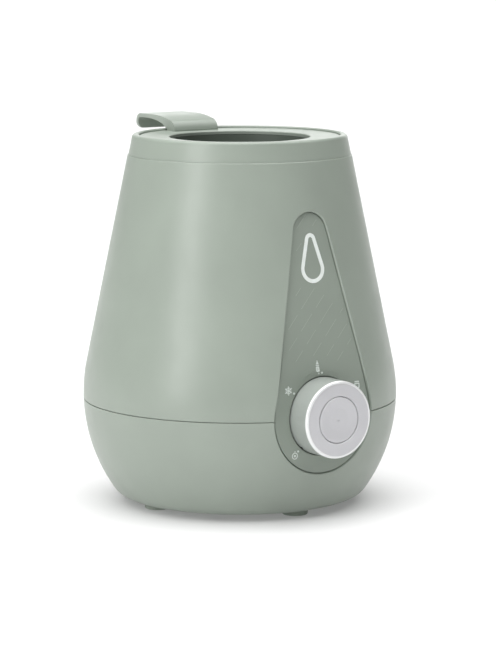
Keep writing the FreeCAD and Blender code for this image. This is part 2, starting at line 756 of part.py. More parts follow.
def knob_clip():
    """The split spring ring that grips the knob's hub onto the shaft."""
    outer_r = KNOB_HUB_R + 0.6
    front = KNOB_DEPTH - 3.3
    back = KNOB_DEPTH - 1.3
    ring = knob_turned([(KNOB_HUB_R, front), (outer_r, front), (outer_r, back), (KNOB_HUB_R, back)])
    split = box(-1.2, 1.2, PRISM_FRONT_Y, PRISM_BACK_Y, KNOB_Z + SHAFT_R, KNOB_Z + KNOB_R)
    return ring.cut([split])


def knob_bezel():
    """The bright bevelled ring round the knob's face."""
    inner_r = KNOB_FACE_R
    crest_r = inner_r + 0.2
    front = 0.25
    back = KNOB_RING_BACK

    def at(r, depth):
        return Vector(r, KNOB_FACE_Y + depth, KNOB_Z)

    outline = Part.Wire([
        line(at(inner_r, front), at(crest_r, front)),
        arc(at(crest_r, front), at(KNOB_R - 0.33, front + 0.32), at(KNOB_R, KNOB_BEVEL)),
        line(at(KNOB_R, KNOB_BEVEL), at(KNOB_R, back)),
        line(at(KNOB_R, back), at(inner_r, back)),
        line(at(inner_r, back), at(inner_r, front)),
    ])
    return Part.Face(outline).revolve(Vector(0, 0, KNOB_Z), Y_AXIS, 360)


def knob_face():
    """The flat silver ring between the bezel and the button."""
    inner_r = BUTTON_R + BUTTON_GAP
    ease = 0.3
    front = 0.15
    return knob_turned([
        (inner_r, front + ease),
        (inner_r + ease, front),
        (KNOB_FACE_R, 0.4),
        (KNOB_FACE_R, KNOB_RING_BACK),
        (inner_r, KNOB_RING_BACK),
    ])


def power_button():
    edge = 0.35
    front = 0.15
    dish = 0.45
    skirt_r = BUTTON_R - 1.2
    skirt_back = 6.5
    plate_back = 3.5
    disc = knob_turned([
        (0.0, front + dish),
        (BUTTON_R / 2, front + dish * 0.73),
        (skirt_r, front),
        (BUTTON_R - edge, front),
        (BUTTON_R, front + edge),
        (BUTTON_R, skirt_back),
        (skirt_r, skirt_back),
        (skirt_r, plate_back),
        (0.0, plate_back),
    ])
    stem_start = KNOB_FACE_Y + plate_back - 1.0
    stem = rod(SHAFT_BORE_R - BUTTON_STEM_FIT, (0, stem_start, KNOB_Z), (0, CONTROL_BOARD_Y - 6.0, KNOB_Z))
    return fused(disc, [stem])


# ---- Water tank and heater ----------------------------------------------------------------------

def water_tank():
    flange_bottom = TANK_TOP_Z - TANK_WALL
    floor_bottom = TANK_FLOOR_Z - TANK_FLOOR
    tank = turned([
        (TANK_TOP_R, TANK_TOP_Z),
        (TANK_FLOOR_R, TANK_FLOOR_Z),
        (TANK_MOUTH_R, TANK_FLOOR_Z),
        (TANK_MOUTH_R, floor_bottom),
        (TANK_FLOOR_R + TANK_WALL, floor_bottom),
        (TANK_TOP_R + TANK_WALL, flange_bottom),
        (TANK_FLANGE_R, flange_bottom),
        (TANK_FLANGE_R, TANK_TOP_Z),
    ])
    clamp_r = CLAMP_SCREW_CIRCLE_R
    boss = rod(TANK_BOSS_R, (clamp_r, 0, PLATE_BOTTOM_Z), (clamp_r, 0, TANK_BOSS_TOP_Z))
    boss = boss.cut([Part.makeCylinder(TANK_FLOOR_R + TANK_WALL / 2, FAR)])
    clamp_pilot = rod(SCREW_R, (clamp_r, 0, PLATE_BOTTOM_Z), (clamp_r, 0, TANK_BOSS_TOP_Z - 2))
    flange_r = TANK_SCREW_CIRCLE_R
    hole_r = SMALL_SCREW_R + SCREW_CLEARANCE
    flange_hole = rod(hole_r, (flange_r, 0, flange_bottom - 1), (flange_r, 0, TANK_TOP_Z + 1))
    tank = fused(tank, [around(boss, angle) for angle in DIAGONALS])
    holes = [around(hole, angle) for hole in (clamp_pilot, flange_hole) for angle in DIAGONALS]
    return tank.cut(holes)


def tank_screws():
    one = screw(SMALL_SCREW_R, length=4.8, head_r=2.3, head_height=1.7)
    one = placed(one, (TANK_SCREW_CIRCLE_R, 0, TANK_TOP_Z - TANK_WALL))
    return Part.makeCompound([around(one, angle) for angle in DIAGONALS])


def tank_gasket():
    """The flat silicone ring squeezed between the tank's floor and the plate."""
    inner_r = TANK_MOUTH_R + 0.5
    outer_r = PLATE_R - 0.5
    top = TANK_FLOOR_Z - TANK_FLOOR
    return turned([(inner_r, PLATE_TOP_Z), (outer_r, PLATE_TOP_Z), (outer_r, top), (inner_r, top)])


def heating_plate():
    step_r = TANK_MOUTH_R - 0.5
    step_z = PLATE_TOP_Z + PLATE_STEP
    bevel_r = step_r - 1.2
    return turned([
        (0, PLATE_BOTTOM_Z),
        (PLATE_R, PLATE_BOTTOM_Z),
        (PLATE_R, PLATE_TOP_Z),
        (step_r, PLATE_TOP_Z),
        (step_r, step_z - 0.6),
        (bevel_r, step_z),
        (0, step_z),
    ])


def heater_clamp():
    bottom = PLATE_BOTTOM_Z - CLAMP_THICKNESS
    top = PLATE_BOTTOM_Z
    inner_r = CLAMP_INNER_R
    outer_r = CLAMP_OUTER_R
    ring = turned([(inner_r, bottom), (outer_r, bottom), (outer_r, top), (inner_r, top)])
    hole_r = SCREW_R + SCREW_CLEARANCE
    hole = rod(hole_r, (CLAMP_SCREW_CIRCLE_R, 0, bottom - 1), (CLAMP_SCREW_CIRCLE_R, 0, top + 1))
    return ring.cut([around(hole, angle) for angle in DIAGONALS])


def clamp_screws():
    seat = PLATE_BOTTOM_Z - CLAMP_THICKNESS
    one = screw(SCREW_R, length=11.0, head_r=2.7, head_height=2.0)
    one = placed(one, (CLAMP_SCREW_CIRCLE_R, 0, seat))
    return Part.makeCompound([around(one, angle) for angle in DIAGONALS])


def element_ends():
    """Where the heating ring's two ends lie, either side of a gap at the back."""
    half_gap = math.radians(ELEMENT_GAP_DEGREES / 2)
    x = ELEMENT_RING_R * math.sin(half_gap)
    y = ELEMENT_RING_R * math.cos(half_gap)
    return [(-x, y), (x, y)]


def heating_element():
    """An open ring of sheathed heating tube against the plate, with two terminal pins."""
    z = PLATE_BOTTOM_Z - ELEMENT_TUBE_R
    sweep = 360 - ELEMENT_GAP_DEGREES
    ring = Part.makeTorus(ELEMENT_RING_R, ELEMENT_TUBE_R, Vector(0, 0, z), Z_AXIS, 0, 360, sweep)
    ring.rotate(ORIGIN, Z_AXIS, 90 + ELEMENT_GAP_DEGREES / 2)
    pins = [rod(1.3, (x, y, ELEMENT_PIN_Z), (x, y, z)) for x, y in element_ends()]
    caps = [Part.makeSphere(ELEMENT_TUBE_R - 0.02, Vector(x, y, z)) for x, y in element_ends()]
    return ring.fuse(caps + pins)


def thermostat():
    """A disc thermostat against the plate's middle, with two blade terminals."""
    can = rod(THERMOSTAT_CAN_R, (0, 0, THERMOSTAT_CAN_Z), (0, 0, PLATE_BOTTOM_Z))
    body = rod(THERMOSTAT_BODY_R, (0, 0, THERMOSTAT_BODY_Z), (0, 0, THERMOSTAT_CAN_Z))
    blade_top = THERMOSTAT_BODY_Z + 0.5
    blades = [box(x - 0.4, x + 0.4, -3.1, 3.1, THERMOSTAT_BLADE_Z, blade_top) for x in (-5.0, 5.0)]
    return fused(can, [body] + blades)


def thermal_fuse():
    z = PLATE_BOTTOM_Z - FUSE_R
    barrel = rod(FUSE_R, (-5.5, FUSE_Y, z), (5.5, FUSE_Y, z))
    wires = rod(0.5, (-10, FUSE_Y, z), (10, FUSE_Y, z))
    return fused(barrel, [wires])


def temp_sensor():
    z = PLATE_BOTTOM_Z - SENSOR_R
    return rod(SENSOR_R, (-4.5, SENSOR_Y, z), (4.5, SENSOR_Y, z))


# ---- Power board and inlet ----------------------------------------------------------------------

def power_board():
    half = POWER_BOARD_WIDTH / 2
    board = box(-half, half, POWER_BOARD_FRONT_Y, POWER_BOARD_BACK_Y, POWER_BOARD_Z, POWER_BOARD_TOP_Z)
    hole_r = SMALL_SCREW_R + SCREW_CLEARANCE
    low = POWER_BOARD_Z - 1
    high = POWER_BOARD_TOP_Z + 1
    holes = [rod(hole_r, (x, y, low), (x, y, high)) for x, y in POWER_BOARD_HOLES]
    return board.cut(holes)


def power_board_screws():
    one = screw(SMALL_SCREW_R, length=7.0, head_r=2.1, head_height=1.6)
    heads = [placed(one, (x, y, POWER_BOARD_TOP_Z), -Z_AXIS) for x, y in POWER_BOARD_HOLES]
    return Part.makeCompound(heads)


def transformer():
    floor = POWER_BOARD_TOP_Z
    core = box(-33, -13, -6, 9, floor + 2, floor + 15)
    bobbin = box(-30, -16, -9, 12, floor, floor + 12)
    return fused(core, [bobbin])


def relay():
    floor = POWER_BOARD_TOP_Z
    case = box(18, 33, -2, 17, floor, floor + 15)
    upright = [edge for edge in case.Edges if edge.BoundBox.ZLength > 10]
    return case.makeFillet(1.0, upright)


def capacitor():
    floor = POWER_BOARD_TOP_Z
    top = floor + 16.0
    can = rod(5.0, (20, -14, floor), (20, -14, top))
    rim = edges_where(can, lambda point: abs(point.z - top) < 1e-6)
    return can.makeFillet(0.8, rim)


def terminal_block():
    floor = POWER_BOARD_TOP_Z
    return box(-9, 9, 20, 28, floor, floor + 10)


def figure_eight(y0, y1, radius):
    """The two-lobed socket shape of a small appliance inlet."""
    lobes = [rod(radius, (x, y0, INLET_Z), (x, y1, INLET_Z)) for x in (-INLET_PIN_X, INLET_PIN_X)]
    low = INLET_Z - INLET_WAIST_HALF
    high = INLET_Z + INLET_WAIST_HALF
    waist = box(-INLET_PIN_X, INLET_PIN_X, y0, y1, low, high)
    return waist.fuse(lobes)


def inlet_pin_rods():
    start = INLET_BACK_Y - INLET_PIN_TAIL
    end = INLET_FACE_Y - 2.0
    return [rod(INLET_PIN_R, (x, start, INLET_Z), (x, end, INLET_Z)) for x in (-INLET_PIN_X, INLET_PIN_X)]


def power_inlet():
    half_width = INLET_FACE_WIDTH / 2
    half_height = INLET_FACE_HEIGHT / 2
    face_y = INLET_FACE_Y
    plate_back = face_y - INLET_PLATE
    plate = box(-half_width, half_width, plate_back, face_y, INLET_Z - half_height, INLET_Z + half_height)
    body_half = INLET_BODY_WIDTH / 2
    body_low = INLET_Z - INLET_BODY_HEIGHT / 2
    body_high = INLET_Z + INLET_BODY_HEIGHT / 2
    body = box(-body_half, body_half, INLET_BACK_Y, plate_back, body_low, body_high)
    socket = figure_eight(face_y - INLET_DEPTH, face_y + 1, INLET_LOBE_R)
    return fused(plate, [body]).cut([socket] + inlet_pin_rods())


def inlet_pins():
    return Part.makeCompound(inlet_pin_rods())


# ---- Wiring -------------------------------------------------------------------------------------

def mains_leads():
    start_y = INLET_BACK_Y - INLET_PIN_TAIL
    leads = []
    for x in (-INLET_PIN_X, INLET_PIN_X):
        route = [(x, start_y, INLET_Z), (x, 41, 30), (x, 33, 33), (x, 27, 33), (x, 24, 31), (x, 24, 25.6)]
        leads.append(lead(route, LEAD_R))
    return Part.makeCompound(leads)


def heater_leads():
    leads = []
    for x, y in element_ends():
        side = math.copysign(1, x)
        end_x = x + side * 2
        route = [(x, y, ELEMENT_PIN_Z), (x, y, 36), (end_x, 14, 27), (end_x, 14, POWER_BOARD_TOP_Z)]
        leads.append(lead(route, LEAD_R))
    return Part.makeCompound(leads)


def sensor_lead():
    z = PLATE_BOTTOM_Z - SENSOR_R
    route = [
        (4.5, SENSOR_Y, z),
        (9, SENSOR_Y, z),
        (11.5, -15.5, 48),
        (10, -18, 34),
        (10, -18, POWER_BOARD_TOP_Z),
    ]
    return lead(route, LEAD_R)


def control_lead():
    back = CONTROL_BOARD_Y + BOARD_THICKNESS
    route = [(-6, -18, POWER_BOARD_TOP_Z), (-6, -18, 24), (-6, -28, 34), (-6, -42, 38), (-6, back, 38)]
    return lead(route, CONTROL_LEAD_R)


# ---- Bottle lifter ------------------------------------------------------------------------------

def tab_section(root_thickness, root_top, root_bend, shoulder, shoulder_bend):
    """The tab's side view: up from the deck, back over the rim, and down at the end for the finger.

    The underside runs from the flat end of the plate to a shoulder, and from there to the root.
    """
    inner_r = TAB_BEND_R - TAB_THICKNESS
    bend_z = TAB_TOP_Z - TAB_BEND_R
    under_z = TAB_TOP_Z - TAB_THICKNESS
    root_z = (DECK_BOTTOM_Z + DECK_INNER_Z) / 2
    root_back_y = TAB_ROOT_Y + root_thickness

    def at(y, z):
        return Vector(-TAB_WIDTH / 2, y, z)

    def on_bend(radius, angle):
        return at(TAB_BEND_Y + radius * math.cos(angle), bend_z + radius * math.sin(angle))

    outer_start = on_bend(TAB_BEND_R, math.pi / 2)
    outer_end = on_bend(TAB_BEND_R, 0)
    inner_start = on_bend(inner_r, 0)
    inner_end = on_bend(inner_r, math.pi / 2)
    end_outside = at(TAB_BEND_Y + TAB_BEND_R, TAB_END_Z)
    end_inside = at(TAB_BEND_Y + inner_r, TAB_END_Z)
    return Part.Face(Part.Wire([
        line(at(TAB_ROOT_Y, root_z), at(TAB_ROOT_Y, TAB_ROOT_TOP_Z)),
        arc(at(TAB_ROOT_Y, TAB_ROOT_TOP_Z), at(42.9, 193.2), at(*TAB_SHOULDER)),
        arc(at(*TAB_SHOULDER), at(56.5, 196.65), at(TAB_FLAT_Y, TAB_TOP_Z)),
        line(at(TAB_FLAT_Y, TAB_TOP_Z), outer_start),
        arc(outer_start, on_bend(TAB_BEND_R, math.pi / 4), outer_end),
        line(outer_end, end_outside),
        line(end_outside, end_inside),
        line(end_inside, inner_start),
        arc(inner_start, on_bend(inner_r, math.pi / 4), inner_end),
        line(inner_end, at(TAB_FLAT_Y, under_z)),
        arc(at(TAB_FLAT_Y, under_z), at(*shoulder_bend), at(*shoulder)),
        arc(at(*shoulder), at(*root_bend), at(root_back_y, root_top)),
        line(at(root_back_y, root_top), at(root_back_y, root_z)),
        line(at(root_back_y, root_z), at(TAB_ROOT_Y, root_z)),
    ]))


def round_tab_corners(tab):
    """Round the two lower corners of the tab's turned-down end."""

    def on_corner(point):
        return abs(abs(point.x) - TAB_WIDTH / 2) < 1e-6 and abs(point.z - TAB_END_Z) < 1e-6

    return tab.makeFillet(TAB_CORNER_R, edges_where(tab, on_corner))


def lift_tab():
    """The curved plate that a finger lifts the basket by, with a gusset at each side of its root."""
    gusset_top = TAB_ROOT_TOP_Z - 0.1
    plate = tab_section(TAB_THICKNESS, TAB_ROOT_TOP_Z, (44.7, 191.9), (47.2, 193.2), (56.5, 194.65))
    gusset = tab_section(TAB_GUSSET_REACH, gusset_top, (51.3, 191.5), (54.0, 192.7), (59.5, 194.1))
    left = gusset.extrude(Vector(TAB_GUSSET, 0, 0))
    right = left.copy()
    right.translate(Vector(TAB_WIDTH - TAB_GUSSET, 0, 0))
    return round_tab_corners(fused(plate.extrude(Vector(TAB_WIDTH, 0, 0)), [left, right]))


def lifter_ring():
    """The deck that closes the tank's mouth, with the socket that holds the basket and the lift tab."""
    hole_r = OPENING_R + DECK_HOLE_STEP
    socket_outer_r = BASKET_SOCKET_R + LIFTER_WALL
    deck = turned([
        (hole_r, DECK_BOTTOM_Z),
        (hole_r, DECK_INNER_Z - 0.4),
        (hole_r + 0.4, DECK_INNER_Z),
        (DECK_R - 0.3, DECK_OUTER_Z),
        (DECK_R, DECK_OUTER_Z - 0.3),
        (DECK_R, DECK_BOTTOM_Z),
        (socket_outer_r, DECK_BOTTOM_Z),
        (socket_outer_r, SOCKET_BOTTOM_Z),
        (BASKET_SOCKET_R, SOCKET_BOTTOM_Z),
        (BASKET_SOCKET_R, DECK_BOTTOM_Z),
    ])
    return fused(deck, [lift_tab()])


def basket_windows(inner_r, outer_r):
    """Tall round-ended slots through the basket's wall, which let the water in."""
    half = BASKET_WINDOW_WIDTH / 2
    low_z = BASKET_FLOOR_Z + 12
    high_z = BASKET_GUIDE_Z - 10
    window = box(inner_r - 5, outer_r + 5, -half, half, low_z, high_z)
    along_x = [edge for edge in window.Edges if edge.BoundBox.XLength > 10]
    window = window.makeFillet(half - 0.1, along_x)
    return [around(window, 360.0 / BASKET_WINDOWS * step) for step in range(BASKET_WINDOWS)]


def basket_drain_holes():
    low = BASKET_FLOOR_Z - 1
    high = BASKET_FLOOR_Z + BASKET_WALL + 1
    hole = rod(BASKET_HOLE_R, (BASKET_HOLE_CIRCLE_R, 0, low), (BASKET_HOLE_CIRCLE_R, 0, high))
    return [around(hole, 360.0 / BASKET_HOLES * step) for step in range(BASKET_HOLES)]


def lifter_basket():
    """The slotted basket that the bottle stands in; its plain top is pushed up into the deck's socket."""
    neck_r = BASKET_SOCKET_R - 0.1
    inner_r = OPENING_R + 0.6
    outer_r = inner_r + BASKET_WALL
    top_z = DECK_BOTTOM_Z - 0.2
    floor_top_z = BASKET_FLOOR_Z + BASKET_WALL
    wall = turned([
        (0, BASKET_FLOOR_Z),
        (outer_r, BASKET_FLOOR_Z),
        (outer_r, SOCKET_BOTTOM_Z - 0.2),
        (neck_r, SOCKET_BOTTOM_Z - 0.2),
        (neck_r, top_z),
        (OPENING_R, top_z),
        (OPENING_R, BASKET_GUIDE_Z),
        (inner_r, BASKET_GUIDE_Z - 0.6),
        (inner_r, floor_top_z),
        (0, floor_top_z),
    ])
    return wall.cut(basket_windows(inner_r, outer_r) + basket_drain_holes())


# ---- Export -------------------------------------------------------------------------------------

PIECES = [
    upper_shell, lower_shell, collar, foot_pads, base_screws,
    control_panel, status_light, control_board, control_board_screws, rotary_switch, status_led,
    knob_body, knob_shaft, knob_clip, knob_bezel, knob_face, power_button,
    water_tank, tank_screws, tank_gasket, heating_plate, heater_clamp, clamp_screws,
    heating_element, thermostat, thermal_fuse, temp_sensor,
    power_board, power_board_screws, transformer, relay, capacitor, terminal_block,
    power_inlet, inlet_pins, mains_leads, heater_leads, sensor_lead, control_lead,
    lifter_ring, lifter_basket,
]

os.makedirs("parts", exist_ok=True)
for piece in PIECES:
    shape = piece()
    solids = len(shape.Solids)
    volume = shape.Volume / 1000
    print(f"{piece.__name__:22s} solids {solids}  volume {volume:9.3f} cm3  valid {shape.isValid()}")
    shape.exportStep(f"parts/{piece.__name__}.step")
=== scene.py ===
import math

import bmesh
import bpy
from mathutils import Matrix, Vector
from mathutils.bvhtree import BVHTree


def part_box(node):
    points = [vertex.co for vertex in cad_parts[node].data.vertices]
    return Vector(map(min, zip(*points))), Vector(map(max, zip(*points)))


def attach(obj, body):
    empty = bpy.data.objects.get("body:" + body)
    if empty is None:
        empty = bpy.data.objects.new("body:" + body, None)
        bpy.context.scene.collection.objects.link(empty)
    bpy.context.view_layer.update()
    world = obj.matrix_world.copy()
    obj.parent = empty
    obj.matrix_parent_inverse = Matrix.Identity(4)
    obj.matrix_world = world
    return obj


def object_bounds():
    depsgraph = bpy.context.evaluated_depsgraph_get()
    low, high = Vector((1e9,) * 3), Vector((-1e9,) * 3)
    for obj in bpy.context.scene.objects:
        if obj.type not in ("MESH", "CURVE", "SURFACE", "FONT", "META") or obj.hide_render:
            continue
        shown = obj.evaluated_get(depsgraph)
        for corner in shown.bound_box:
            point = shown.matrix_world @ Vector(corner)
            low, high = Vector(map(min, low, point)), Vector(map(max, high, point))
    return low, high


# A bottle warmer in sage-green satin plastic, dressed round its CAD frame.
# Metres. +Z is up, the control panel faces -Y, and the floor is at z=0.

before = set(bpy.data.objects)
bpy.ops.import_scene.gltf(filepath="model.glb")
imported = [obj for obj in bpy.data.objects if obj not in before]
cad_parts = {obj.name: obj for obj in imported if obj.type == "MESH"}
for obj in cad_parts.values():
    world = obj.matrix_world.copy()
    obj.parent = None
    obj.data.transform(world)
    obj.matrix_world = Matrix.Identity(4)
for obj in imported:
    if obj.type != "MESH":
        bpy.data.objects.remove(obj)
cad_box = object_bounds()

MM = 0.001

# ---- Camera and studio --------------------------------------------------------------------------

CAMERA_AZIMUTH = math.radians(-33.5)
CAMERA_REACH = 1.439
CAMERA_HEIGHT = 0.3061
CAMERA_PITCH = math.radians(8.65)
CAMERA_TURN = math.radians(0.169)
CAMERA_LENS = 151.8
CAMERA_SENSOR = 36.0

LIGHT_TARGET = Vector((0, 0, 0.09))
FLOOR_SIZE = 40.0
FLOOR_GLOW = 0.18

# name, azimuth from the front in degrees, reach, height, width, length, brightness
SOFTBOXES = [
    ("key", -78, 1.7, 0.85, 0.55, 1.6, 6.6),
]

# The ceiling's even light, which comes from a wide cone overhead
CEILING_STRENGTH = 4.3
CEILING_SPREAD = math.radians(80)

# The room as a light: dim all round, with a white backdrop behind the object
ROOM_FILL = 0.06
BACKDROP_LIGHT = 2.0
BACKDROP_AZIMUTH = math.radians(142)
BACKDROP_CORE = math.cos(math.radians(12))
BACKDROP_EDGE = math.cos(math.radians(27))


def round_the_object(azimuth, reach, height):
    """A point at an azimuth from the front of the object, at a distance from its axis."""
    return Vector((reach * math.sin(azimuth), -reach * math.cos(azimuth), height))


def add_camera():
    data = bpy.data.cameras.new("camera")
    data.lens = CAMERA_LENS
    data.sensor_width = CAMERA_SENSOR
    data.clip_end = 100
    camera = bpy.data.objects.new("camera", data)
    camera.location = round_the_object(CAMERA_AZIMUTH, CAMERA_REACH, CAMERA_HEIGHT)
    camera.rotation_euler = (math.pi / 2 - CAMERA_PITCH, 0, CAMERA_AZIMUTH - CAMERA_TURN)
    bpy.context.scene.collection.objects.link(camera)
    bpy.context.scene.camera = camera


def add_softbox(name, azimuth, reach, height, width, length, brightness):
    """An area light that is out of sight itself, facing the object."""
    data = bpy.data.lights.new(name, "AREA")
    data.shape = "RECTANGLE"
    data.size = width
    data.size_y = length
    data.energy = brightness * math.pi * width * length
    light = bpy.data.objects.new(name, data)
    light.location = round_the_object(math.radians(azimuth), reach, height)
    light.rotation_euler = (LIGHT_TARGET - light.location).to_track_quat("-Z", "Y").to_euler()
    light.visible_camera = False
    bpy.context.scene.collection.objects.link(light)


def add_ceiling():
    data = bpy.data.lights.new("ceiling", "SUN")
    data.energy = CEILING_STRENGTH
    data.angle = CEILING_SPREAD
    bpy.context.scene.collection.objects.link(bpy.data.objects.new("ceiling", data))


def backdrop_strength(nodes, links):
    """The room's strength as a light by direction: dim, but for the backdrop behind the object."""
    facing = nodes.new("ShaderNodeVectorMath")
    facing.operation = "DOT_PRODUCT"
    facing.inputs[1].default_value = round_the_object(BACKDROP_AZIMUTH, 1, 0)
    links.new(nodes.new("ShaderNodeTexCoord").outputs["Generated"], facing.inputs[0])
    strength = nodes.new("ShaderNodeMapRange")
    strength.interpolation_type = "SMOOTHSTEP"
    strength.inputs["From Min"].default_value = BACKDROP_EDGE
    strength.inputs["From Max"].default_value = BACKDROP_CORE
    strength.inputs["To Min"].default_value = ROOM_FILL
    strength.inputs["To Max"].default_value = BACKDROP_LIGHT
    links.new(facing.outputs["Value"], strength.inputs["Value"])
    return strength.outputs["Result"]


def add_world():
    """A pale room: white to the eye, and as a light only as strong as its backdrop makes it."""
    world = bpy.data.worlds.new("pale_room")
    world.use_nodes = True
    nodes = world.node_tree.nodes
    links = world.node_tree.links
    lit = nodes["Background"]
    lit.inputs["Color"].default_value = (1, 1, 1, 1)
    links.new(backdrop_strength(nodes, links), lit.inputs["Strength"])
    seen = nodes.new("ShaderNodeBackground")
    seen.inputs["Color"].default_value = (1, 1, 1, 1)
    mix = nodes.new("ShaderNodeMixShader")
    links.new(nodes.new("ShaderNodeLightPath").outputs["Is Camera Ray"], mix.inputs["Fac"])
    links.new(lit.outputs["Background"], mix.inputs[1])
    links.new(seen.outputs["Background"], mix.inputs[2])
    links.new(mix.outputs["Shader"], nodes["World Output"].inputs["Surface"])
    bpy.context.scene.world = world


def add_floor(material):
    half = FLOOR_SIZE / 2
    corners = [(-half, -half, 0), (half, -half, 0), (half, half, 0), (-half, half, 0)]
    mesh = bpy.data.meshes.new("floor")
    mesh.from_pydata(corners, [], [(0, 1, 2, 3)])
    mesh.materials.append(material)
    floor = bpy.data.objects.new("floor", mesh)
    bpy.context.scene.collection.objects.link(floor)


# ---- Materials ----------------------------------------------------------------------------------


# Procedural patterns mostly stay between these two values
PATTERN_LOW = 0.3
PATTERN_HIGH = 0.7

# The wave texture's scale at which its bands are one unit apart
ONE_BAND_PER_UNIT = math.pi / 10

# The colour sockets of Blender's mix node, which share their names with its other sockets
MIX_FIRST = 6
MIX_SECOND = 7
MIX_RESULT = 2


def linear(red, green, blue):
    """A colour given as 0 to 255 display values, in the linear values that shaders use."""
    def one(value):
        value /= 255
        return value / 12.92 if value <= 0.04045 else ((value + 0.055) / 1.055) ** 2.4

    return (one(red), one(green), one(blue), 1.0)


class Surface:
    """A material with one shader, to which procedural detail is added step by step."""

    def __init__(self, name, metallic=0.0, specular=0.5, coat=0.0):
        self.material = bpy.data.materials.new(name)
        self.material.use_nodes = True
        self.nodes = self.material.node_tree.nodes
        self.links = self.material.node_tree.links
        self.shader = self.nodes["Principled BSDF"]
        self.shader.inputs["Metallic"].default_value = metallic
        self.shader.inputs["Specular IOR Level"].default_value = specular
        self.shader.inputs["Coat Weight"].default_value = coat
        self.coordinates = self.nodes.new("ShaderNodeTexCoord").outputs["Object"]
        self.relief_so_far = None

    def scaled(self, size, stretch):
        """The surface's own coordinates, so that one pattern unit is size metres."""
        mapping = self.nodes.new("ShaderNodeMapping")
        mapping.inputs["Scale"].default_value = [amount / size for amount in stretch]
        self.links.new(self.coordinates, mapping.inputs["Vector"])
        return mapping.outputs["Vector"]

    def noise(self, size, stretch=(1, 1, 1), detail=2.0):
        """Cloudy patches about size metres across, drawn out along an axis whose stretch is small."""
        texture = self.nodes.new("ShaderNodeTexNoise")
        texture.inputs["Scale"].default_value = 1.0
        texture.inputs["Detail"].default_value = detail
        self.links.new(self.scaled(size, stretch), texture.inputs["Vector"])
        return texture.outputs["Fac"]

    def cells(self, size, stretch=(1, 1, 1)):
        """A grain of rounded cells about size metres across."""
        texture = self.nodes.new("ShaderNodeTexVoronoi")
        texture.inputs["Scale"].default_value = 1.0
        self.links.new(self.scaled(size, stretch), texture.inputs["Vector"])
        return texture.outputs["Distance"]

    def bands(self, size, axis):
        """Parallel bands across an axis, size metres apart."""
        texture = self.nodes.new("ShaderNodeTexWave")
        texture.bands_direction = axis
        texture.inputs["Scale"].default_value = ONE_BAND_PER_UNIT
        texture.inputs["Distortion"].default_value = 0.6
        self.links.new(self.scaled(size, (1, 1, 1)), texture.inputs["Vector"])
        return texture.outputs["Fac"]

    def between(self, factor, low, high):
        """A pattern's middle range, spread from low to high."""
        spread = self.nodes.new("ShaderNodeMapRange")
        spread.inputs["From Min"].default_value = PATTERN_LOW
        spread.inputs["From Max"].default_value = PATTERN_HIGH
        spread.inputs["To Min"].default_value = low
        spread.inputs["To Max"].default_value = high
        self.links.new(factor, spread.inputs["Value"])
        return spread.outputs["Result"]

    def colour(self, first, second, factor):
        """The surface's colour, from one to the other by a pattern."""
        mix = self.nodes.new("ShaderNodeMix")
        mix.data_type = "RGBA"
        mix.inputs[MIX_FIRST].default_value = first
        mix.inputs[MIX_SECOND].default_value = second
        self.links.new(self.between(factor, 0.0, 1.0), mix.inputs["Factor"])
        self.links.new(mix.outputs[MIX_RESULT], self.shader.inputs["Base Color"])

    def roughness(self, low, high, factor):
        self.links.new(self.between(factor, low, high), self.shader.inputs["Roughness"])

    def relief(self, factor, height):
        """Bumps of a height in metres, on top of any relief already there."""
        bump = self.nodes.new("ShaderNodeBump")
        bump.inputs["Strength"].default_value = 1.0
        bump.inputs["Distance"].default_value = height
        self.links.new(factor, bump.inputs["Height"])
        if self.relief_so_far is not None:
            self.links.new(self.relief_so_far, bump.inputs["Normal"])
        self.relief_so_far = bump.outputs["Normal"]
        self.links.new(self.relief_so_far, self.shader.inputs["Normal"])


def shade(colour, amount):
    """A colour made darker or lighter by a factor."""
    return tuple(channel * amount for channel in colour[:3]) + (1.0,)


def moulded(name, colour, gloss, grain=0.35 * MM, depth=0.006 * MM, spread=0.03, **shader):
    """Moulded plastic: a fine etched grain, and a faint flow in its gloss and its colour."""
    surface = Surface(name, **shader)
    surface.colour(shade(colour, 1 - spread), shade(colour, 1 + spread), surface.noise(28 * MM))
    surface.roughness(gloss - 0.04, gloss + 0.04, surface.noise(9 * MM, detail=4.0))
    surface.relief(surface.noise(grain, detail=1.0), depth)
    surface.relief(surface.noise(6 * MM), depth)
    return surface.material


def spun(name, colour, gloss, stretch, **shader):
    """Turned metal: hair-fine rings left by a lathe."""
    surface = Surface(name, metallic=1.0, **shader)
    rings = surface.noise(0.25 * MM, stretch=stretch, detail=3.0)
    surface.colour(shade(colour, 0.9), shade(colour, 1.06), rings)
    surface.roughness(gloss - 0.05, gloss + 0.07, rings)
    surface.relief(rings, 0.003 * MM)
    return surface.material


def shell_plastic():
    return moulded("sage_satin_plastic", linear(148, 157, 147), gloss=0.36)


def panel_plastic():
    return moulded("sage_panel_plastic", linear(140, 149, 139), gloss=0.46, grain=0.3 * MM)


def rib_plastic():
    return moulded("pale_rib_plastic", linear(157, 166, 156), gloss=0.4, grain=0.3 * MM)


def foot_rubber():
    surface = Surface("sage_rubber", specular=0.35)
    colour = linear(160, 169, 158)
    surface.colour(shade(colour, 0.92), shade(colour, 1.05), surface.noise(3 * MM, detail=5.0))
    surface.roughness(0.7, 0.85, surface.noise(2 * MM))
    surface.relief(surface.cells(0.5 * MM), 0.02 * MM)
    return surface.material


def light_guide():
    surface = Surface("frosted_light_guide", coat=0.25)
    surface.shader.inputs["Subsurface Weight"].default_value = 0.2
    surface.shader.inputs["Subsurface Radius"].default_value = (0.002, 0.002, 0.002)
    surface.colour(linear(227, 233, 229), linear(235, 241, 237), surface.noise(4 * MM))
    surface.roughness(0.3, 0.4, surface.noise(1.5 * MM))
    surface.relief(surface.noise(0.4 * MM), 0.004 * MM)
    return surface.material


